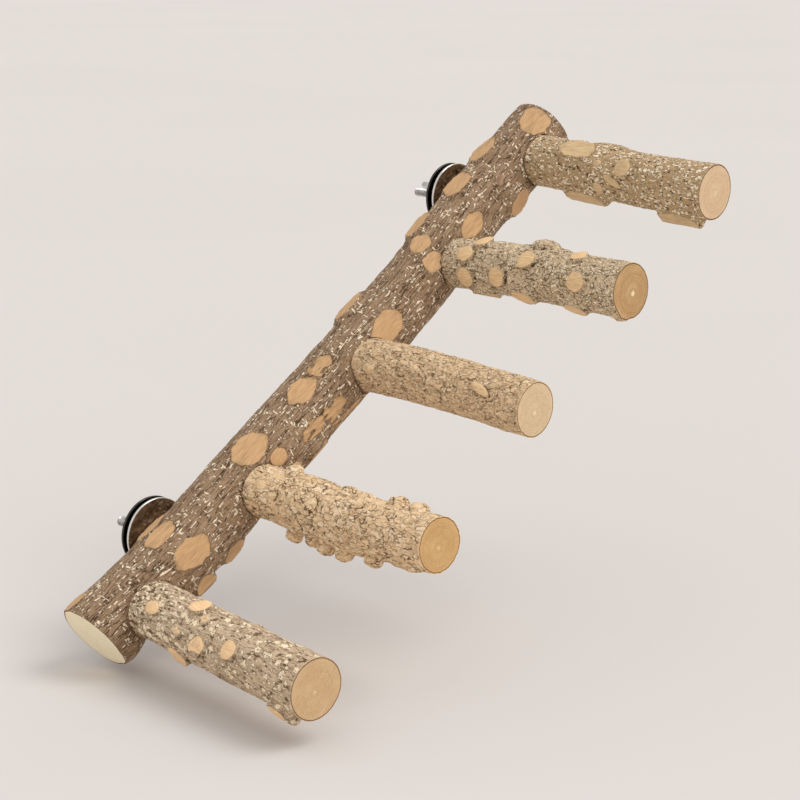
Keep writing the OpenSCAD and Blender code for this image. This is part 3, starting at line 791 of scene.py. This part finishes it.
class BranchMesh:
    """Points, faces and shader attributes of a branch: a wall of rings and two polar end caps."""

    CAP_RINGS = (0.99, 0.965, 0.94, 0.9, 0.82, 0.72, 0.62, 0.52, 0.42, 0.32, 0.22, 0.12, 0.05)
    CAP_DOME = 0.12

    def __init__(self, wall, grain, relief, cut):
        rows, self.sides = relief.shape
        self.wall = wall
        self.count = 0
        self.columns = {name: [] for name in ("points", "grain", "relief", "cut", "ring", "edge")}
        self.add(wall.reshape(-1, 3), grain.reshape(-1, 3), relief.ravel(), cut.ravel(),
                 np.full(relief.size, FAR), np.zeros(relief.size))
        self.faces = tube_faces(rows, self.sides)
        self.slots = [0] * len(self.faces)

    def add(self, *values):
        """Adds vertices, with values for every column."""
        for column, value in zip(self.columns.values(), values):
            column.append(value)
        self.count += len(values[0])

    def add_sawn(self, points, ring, edge):
        flat = np.zeros(len(points))
        self.add(points, points, flat, flat + UNCUT, ring, edge)

    def cap(self, row, middle, sawn, slot):
        """Closes one end with rings that shrink to the pith, a little proud of the rim."""
        rim = self.wall[row]
        pith = middle + np.array([*sawn.pith_at, 0])
        reach = np.linalg.norm(rim - pith, axis=1)
        outward = -1 if row == 0 else 1
        last = row * self.sides + np.arange(self.sides)
        for share in self.CAP_RINGS:
            points = pith + (rim - pith) * share
            points[:, 2] += outward * self.CAP_DOME * min(1.0, (1 - share) * 25)
            self.add_sawn(points, reach * share, reach * (1 - share))
            here = self.count - self.sides + np.arange(self.sides)
            quads = np.stack([last, np.roll(last, -1), np.roll(here, -1), here], -1)
            self.faces += quads[:, ::outward].tolist()
            self.slots += [slot] * self.sides
            last = here
        top = pith[None] + np.array([[0, 0, outward * self.CAP_DOME]])
        self.add_sawn(top, np.zeros(1), np.array([FAR]))
        tip = self.count - 1
        for a, b in zip(last, np.roll(last, -1)):
            self.faces.append([*(a, b)[::outward], tip])
            self.slots.append(slot)

    def build(self, name, place, materials):
        columns = {key: np.concatenate(parts) for key, parts in self.columns.items()}
        mesh = bpy.data.meshes.new(name)
        mesh.from_pydata(columns.pop("points"), [], self.faces)
        for key, values in columns.items():
            kind, field = ("FLOAT_VECTOR", "vector") if values.ndim == 2 else ("FLOAT", "value")
            data = mesh.attributes.new(key, kind, "POINT").data
            data.foreach_set(field, values.astype(np.float32).ravel())
        mesh.polygons.foreach_set("material_index", self.slots)
        return add_piece(name, mesh, place, materials)


def add_object(name, mesh):
    piece = bpy.data.objects.new(name, mesh)
    bpy.context.scene.collection.objects.link(piece)
    return piece


def add_piece(name, mesh, place, materials=()):
    """An object from a mesh in mm, put in its place in the model's frame."""
    for material in materials:
        mesh.materials.append(material)
    mesh.transform(Matrix.Scale(MM, 4) @ place)
    return add_object(name, mesh)


def mesh_from(name, work):
    """A mesh from a bmesh, which is used up."""
    mesh = bpy.data.meshes.new(name)
    work.to_mesh(mesh)
    work.free()
    return mesh


def shade(piece, angle=35, rough_slot=None):
    """Smooth faces, with sharp edges where two materials meet or the surface turns by more than angle.
    Between faces of the rough slot no edge is sharp."""
    work = bmesh.new()
    work.from_mesh(piece.data)
    limit = math.radians(angle)
    for face in work.faces:
        face.smooth = True
    for line in work.edges:
        if len(line.link_faces) != 2:
            continue
        one, two = (face.material_index for face in line.link_faces)
        if one != two:
            line.smooth = False
        elif one != rough_slot:
            line.smooth = line.calc_face_angle(0) < limit
    work.to_mesh(piece.data)
    work.free()


def combine(piece, tool, operation="DIFFERENCE"):
    """Cuts a tool out of a piece, or adds it, and removes the tool."""
    step = piece.modifiers.new(operation.lower(), "BOOLEAN")
    step.operation = operation
    step.solver = "MANIFOLD"
    step.object = tool
    bpy.context.view_layer.update()
    ready = piece.evaluated_get(bpy.context.evaluated_depsgraph_get())
    done = bpy.data.meshes.new_from_object(ready)
    piece.modifiers.clear()
    piece.data = done
    bpy.data.objects.remove(tool)


def revolve(name, outline, place, sides, slots=None, closed=False, materials=()):
    """A turned piece from an outline of radius and height, run from the bottom of its axis to the top.
    A closed outline makes a ring. slots gives the material of each stretch of the outline."""
    work = bmesh.new()
    turns = [2 * math.pi * k / sides for k in range(sides)]
    rings = [[work.verts.new((0, 0, z))] if r == 0 else
             [work.verts.new((r * math.cos(t), r * math.sin(t), z)) for t in turns] for r, z in outline]
    pairs = list(zip(rings, rings[1:]))
    if closed:
        pairs.append((rings[-1], rings[0]))
    for number, (low, high) in enumerate(pairs):
        for k in range(sides):
            corners = [low[k % len(low)], low[(k + 1) % len(low)],
                       high[(k + 1) % len(high)], high[k % len(high)]]
            face = work.faces.new(list(dict.fromkeys(corners)))
            face.material_index = slots[number] if slots else 0
    return add_piece(name, mesh_from(name, work), place, materials)


def threaded(name, heights, radius_at, place, sides, material):
    """A rod, closed at both ends, whose radius follows radius_at(height, turn), turn being 0 to 1."""
    height, turn = np.meshgrid(np.array(heights), np.arange(sides) / sides, indexing="ij")
    radius = radius_at(height, turn)
    wall = np.stack([radius * np.cos(2 * np.pi * turn), radius * np.sin(2 * np.pi * turn), height], -1)
    points = np.concatenate([wall.reshape(-1, 3), [[0, 0, heights[0]], [0, 0, heights[-1]]]])
    faces = tube_faces(len(heights), sides)
    base, top = len(points) - 2, len(points) - 1
    faces += [[(k + 1) % sides, k, base] for k in range(sides)]
    start = (len(heights) - 1) * sides
    faces += [[start + k, start + (k + 1) % sides, top] for k in range(sides)]
    mesh = bpy.data.meshes.new(name)
    mesh.from_pydata(points, [], faces)
    return add_piece(name, mesh, place, [material])


def thread(height, turn, pitch, crest, root, sharp):
    """Radius over a thread: sharp is the share of the pitch that its crest and flanks take."""
    phase = np.abs((height / pitch - turn) % 1 - 0.5) * 2
    return root + (crest - root) * (1 - climb(0, sharp, phase))


def make_trunk(cut_wood):
    """The trunk, with seats and screw holes for the perches, and landings for the studs."""
    swells = [lump(at, 90, SWELL_HALF_LEN, SWELL_HALF_WIDTH, float(BOW_OUT * bow(at)))
              for at in STUD_AT]
    trunk = branch("trunk_branch", TRUNK_LEN, TRUNK_FOOT_R, TRUNK_TOP_R, trunk_middle,
                   TRUNK_KNOTS + swells, TRUNK_BARK, (FOOT_SAWN_LIGHTENED, TOP_SAWN), ON_TRUNK,
                   seed=1, grid=TRUNK_GRID)
    deep = 2 * TRUNK_FOOT_R

    def carve(name, outline, place, sides):
        whole = [(0, outline[0][1]), *outline, (0, deep)]
        combine(trunk, revolve(name, whole, place, sides, materials=[cut_wood]))

    for perch in PERCHES:
        place = on_perch(perch)
        seat = seat_r(perch)
        wide = perch.seat_d / 2 + SEAT_CLEARANCE
        carve("seat_tool", [(wide, seat), (wide, deep)], place, 96)
        head, hole = -head_r(perch), SCREW_R + SCREW_CLEARANCE
        sink, neck = SCREW_HEAD_R + HEAD_SPARE, head + SCREW_HEAD_R - hole
        carve("screw_tool", [(sink, -deep), (sink, head), (hole, neck), (hole, deep)], place, 40)
    for which in (0, 1):
        wide, pilot = WASHER_R + 1, STUD_R * BITE
        foot = -WASHER_T - STUD_WOOD_LEN - 1
        carve("landing_tool", [(pilot, foot), (pilot, -WASHER_T), (wide, -WASHER_T), (wide, deep)],
              on_stud(which), 96)
    shade(trunk, rough_slot=0)
    ride(trunk, "ladder", "trunk")


def make_perch(number, perch, cut_wood):
    """One perch, with its foot in the trunk's seat and a pilot hole for its screw."""
    def middle(at):
        return np.stack([0 * at, perch.arch * np.sin(math.pi * at / perch.length), at * 1.0], -1)

    place = on_perch(perch) @ moved(0, 0, seat_r(perch))
    piece = branch(f"perch_branch_{number}", perch.length, perch.seat_d / 2, perch.tip_d / 2, middle,
                   perch.knots, perch.bark, (perch.end, perch.end), place,
                   seed=number + 1, grid=PERCH_GRID, bevel=PERCH_BEVEL)
    pilot, deep = SCREW_R * BITE, SCREW_LEN - head_r(perch) - seat_r(perch) + 1
    outline = [(0, -1), (pilot, -1), (pilot, deep), (0, deep + pilot)]
    combine(piece, revolve("pilot_tool", outline, place, 24, materials=[cut_wood]))
    shade(piece, rough_slot=0)
    ride(piece, "ladder", f"perch_{number}")


def make_screw(number, perch, steel):
    """A countersunk wood screw, head at z = 0 and point down, with a cross recess."""
    place = on_perch(perch) @ moved(0, 0, -head_r(perch)) @ turned(180, "X")

    def radius_at(height, turn):
        rod = thread(height, turn, SCREW_PITCH, SCREW_R, SCREW_ROOT_R, 0.55)
        rod = np.where(height > -SCREW_SHANK_LEN, SCREW_SHANK_R, rod)
        point = np.clip((height + SCREW_LEN) / (POINT_LEN * SCREW_R), POINT_END, 1)
        cone = SCREW_HEAD_R + np.minimum(height + HEAD_LAND, 0)
        head = np.minimum(cone, SCREW_HEAD_R - 0.15 * (height > -0.1))
        return np.maximum(rod * point, head)

    heights = [*np.arange(-SCREW_LEN, -5, 0.28), *np.arange(-5, -HEAD_LAND, 0.3), -HEAD_LAND, -0.12, 0]
    screw = threaded(f"screw_{number}", heights, radius_at, place, 32, steel)
    for spin in (0, 90):
        arm = bmesh.new()
        bmesh.ops.create_cube(arm, size=1)
        bmesh.ops.transform(arm, matrix=Matrix.Diagonal((*RECESS, 1)), verts=arm.verts)
        for v in arm.verts:
            if v.co.z < 0:
                v.co.x *= RECESS_FLOOR[0]
                v.co.y *= RECESS_FLOOR[1]
        mesh = mesh_from("recess_tool", arm)
        combine(screw, add_piece("recess_tool", mesh, place @ turned(spin, "Z"), [steel]))
    shade(screw, 40)
    ride(screw, "ladder", f"perch_screw_{number}")


def make_stud(which, steel):
    """A hanger bolt: coarse wood thread in the trunk, machine thread out through the wall."""
    foot = -WASHER_T - STUD_WOOD_LEN
    depth, bevel = 0.6 * STUD_PITCH, 0.75 * STUD_PITCH

    def radius_at(height, turn):
        machine = thread(height, turn, STUD_PITCH, STUD_R, STUD_R - depth, 0.8)
        wood = thread(height, turn, STUD_WOOD_PITCH, STUD_R, STUD_R * 0.7, 0.5)
        wood = wood * np.clip((height - foot) / (POINT_LEN * STUD_R), POINT_END, 1)
        rod = np.where(height < -WASHER_T - 1, wood, machine)
        return np.minimum(rod, STUD_R - np.maximum(height - STUD_FREE + bevel, 0))

    heights = [*np.arange(foot, -WASHER_T, 0.3), *np.arange(-WASHER_T, STUD_FREE, 0.1), STUD_FREE]
    stud = threaded(CLAMPS[which] + "_stud", heights, radius_at, on_stud(which), 32, steel)
    shade(stud, 60)
    ride(stud, "ladder", CLAMPS[which] + "_hanger_bolt")


def make_washer(which, side, base, steels):
    """A wide stamped washer with a rounded rim. Its steels are for its trunk side, rim and the rest."""
    outline = [(WASHER_HOLE_R + WASHER_BEVEL, 0)]
    for middle, start in ((WASHER_ROUND_R, -90), (WASHER_T - WASHER_ROUND_R, 0)):
        for k in range(6):
            turn = math.radians(start + 18 * k)
            outline.append((WASHER_R - WASHER_ROUND_R + WASHER_ROUND_R * math.cos(turn),
                            middle + WASHER_ROUND_R * math.sin(turn)))
    outline += [(WASHER_HOLE_R + WASHER_BEVEL, WASHER_T), (WASHER_HOLE_R, WASHER_T - WASHER_BEVEL),
                (WASHER_HOLE_R, WASHER_BEVEL)]
    slots = [0] + [1] * 11 + [2] * 4
    name = f"{CLAMPS[which]}_{side}_washer"
    place = on_stud(which) @ moved(0, 0, base)
    washer = revolve(name + "_disc", outline, place, 128, slots, closed=True, materials=steels)
    shade(washer, 30)
    ride(washer, name, name)


def make_wing_nut(which, steel):
    """A cast wing nut: hub and wings run together softly, then bored."""
    place = on_stud(which) @ moved(0, 0, WIRE_GAP + WASHER_T) @ turned(WING_TURN, "Z")
    name = CLAMPS[which] + "_wing_nut"
    hub = [(0, 0), (HUB_R, 0), (HUB_R - HUB_TAPER, HUB_H), (0, HUB_H)]
    nut = revolve(name + "_cast", hub, Matrix(), 48)
    for side in (0, 180):
        combine(nut, wing(turned(side, "Z")), "UNION")
    soften = nut.modifiers.new("cast", "REMESH")
    soften.mode = "VOXEL"
    soften.voxel_size = 0.28 * MM
    melt = nut.modifiers.new("melt", "SMOOTH")
    melt.factor = 0.5
    melt.iterations = 6
    bore = [(0, -1), (NUT_HOLE_R, -1), (NUT_HOLE_R, HUB_H + 1), (0, HUB_H + 1)]
    combine(nut, revolve("bore_tool", bore, Matrix(), 48))
    nut.data.materials.clear()
    nut.data.materials.append(steel)
    nut.data.transform(Matrix.Translation(place.translation * MM) @ place.to_3x3().to_4x4())
    shade(nut, 50)
    ride(nut, name, name)


def wing(place):
    """One wing, thicker at its root than at its round end, out along +X and up along +Z."""
    end_x, end_z = WING_SPAN / 2 - WING_END_R, WING_H - WING_END_R
    arc = [math.radians(a) for a in range(-50, 141, 10)]
    outline = [(WING_ROOT_X, WING_LIFT), (HUB_R, WING_LIFT)]
    outline += [(end_x + WING_END_R * math.cos(a), end_z + WING_END_R * math.sin(a)) for a in arc]
    outline += [(HUB_R - HUB_TAPER, HUB_H - WING_LIFT), (WING_ROOT_X, HUB_H - WING_LIFT)]
    work = bmesh.new()
    layers = []
    for side in (-1, 1):
        half = side * WING_T / 2
        layers.append([work.verts.new((x, half * (1.1 - 0.02 * x), z)) for x, z in outline])
    work.faces.new(layers[0])
    work.faces.new(layers[1][::-1])
    for k in range(len(outline)):
        j = (k + 1) % len(outline)
        work.faces.new([layers[0][j], layers[0][k], layers[1][k], layers[1][j]])
    bmesh.ops.recalc_face_normals(work, faces=work.faces)
    return add_piece("wing_tool", mesh_from("wing_tool", work), place)


def ride(piece, body, node):
    """Says which body a piece moves with and which node it replaces."""
    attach(piece, body)
    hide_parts(node)


def make_floor():
    """A plain pale floor just under the lowest piece."""
    s = Shader("floor")
    cloud = s.noise(s.node("TexCoord", {}, "Object"), (1, 1, 1))
    s.give("Base Color", s.mix(s.ramp(cloud, 0.3, 0.7), srgb(216, 210, 204), srgb(218, 212, 206)))
    s.give("Roughness", 0.9)
    s.give("Specular IOR Level", 0.1)
    half, low = 30, CAD_BOX[0][2] - 4 * MM
    corners = [(-half, -half, low), (half, -half, low), (half, half, low), (-half, half, low)]
    mesh = bpy.data.meshes.new("floor")
    mesh.from_pydata(corners, [], [(0, 1, 2, 3)])
    mesh.materials.append(s.material)
    add_object("floor", mesh)


def make_light():
    """Pale surroundings that show the floor's shade, and one broad light from the upper right."""
    world = bpy.data.worlds.new("studio")
    bpy.context.scene.world = world
    world.use_nodes = True
    nodes, links = world.node_tree.nodes, world.node_tree.links
    ground = nodes["Background"]
    ground.inputs["Color"].default_value = srgb(250, 250, 252)
    ground.inputs["Strength"].default_value = 0.85
    shown = nodes.new("ShaderNodeBackground")
    shown.inputs["Color"].default_value = srgb(230, 224, 218)
    path = nodes.new("ShaderNodeLightPath")
    seen = path.outputs["Is Camera Ray"]
    for ray in ("Is Glossy Ray", "Is Transmission Ray"):
        either = nodes.new("ShaderNodeMath")
        either.operation = "MAXIMUM"
        links.new(seen, either.inputs[0])
        links.new(path.outputs[ray], either.inputs[1])
        seen = either.outputs[0]
    mix = nodes.new("ShaderNodeMixShader")
    links.new(seen, mix.inputs[0])
    links.new(ground.outputs[0], mix.inputs[1])
    links.new(shown.outputs[0], mix.inputs[2])
    links.new(mix.outputs[0], nodes["World Output"].inputs["Surface"])
    key = bpy.data.lights.new("key", "SUN")
    key.energy = 1.2
    key.angle = math.radians(35)
    lamp = add_object("key", key)
    lamp.rotation_euler = Vector((-0.35, 0.6, -0.9)).to_track_quat("-Z", "Y").to_euler()


def make_camera():
    """The photograph's view of the ladder, as solved on it."""
    lens = bpy.data.cameras.new("camera")
    lens.lens = 90
    lens.sensor_width = 36
    lens.clip_end = 100
    camera = add_object("camera", lens)
    camera.location = (-0.6033, -0.8035, 0.3002)
    camera.rotation_euler = [math.radians(a) for a in (77.04, 0, -44.14)]
    bpy.context.scene.camera = camera


def main():
    bpy.context.scene.view_settings.view_transform = "Standard"
    make_camera()
    cut_wood = cut_material()
    zinc = steel_material("zinc", srgb(214, 214, 212), srgb(178, 178, 178), 0.3, 0.01)
    mirror = steel_material("washer_face", srgb(198, 186, 174), srgb(158, 146, 134), 0.12, 0.004)
    # The rim steel is lighter than the washer's other faces: a painted highlight on the outer washer's
    # rim.
    rim = steel_material("washer_rim_highlight", srgb(230, 230, 228), srgb(220, 220, 218), 0.2, 0.004)
    brushed = steel_material("washer_back", srgb(196, 195, 193), srgb(168, 167, 165), 0.26, 0.01)
    # Dark steel for the inner washer's trunk side and rim: painted shade in the gap between the
    # washers.
    dark = steel_material("washer_painted_shade", srgb(84, 80, 76), srgb(56, 53, 50), 0.24, 0.004)
    yellow = steel_material("yellow_zinc", srgb(214, 190, 122), srgb(186, 156, 88), 0.32, 0.01)
    make_trunk(cut_wood)
    for number, perch in enumerate(PERCHES, 1):
        make_perch(number, perch, cut_wood)
        make_screw(number, perch, yellow)
    for which in (0, 1):
        make_stud(which, zinc)
        make_washer(which, "outer", -WASHER_T, [mirror, rim, brushed])
        # The inner washer's trunk side and rim are painted dark, as painted shade.
        make_washer(which, "inner", WIRE_GAP, [dark, dark, brushed])
        make_wing_nut(which, zinc)
    make_floor()
    make_light()


main()
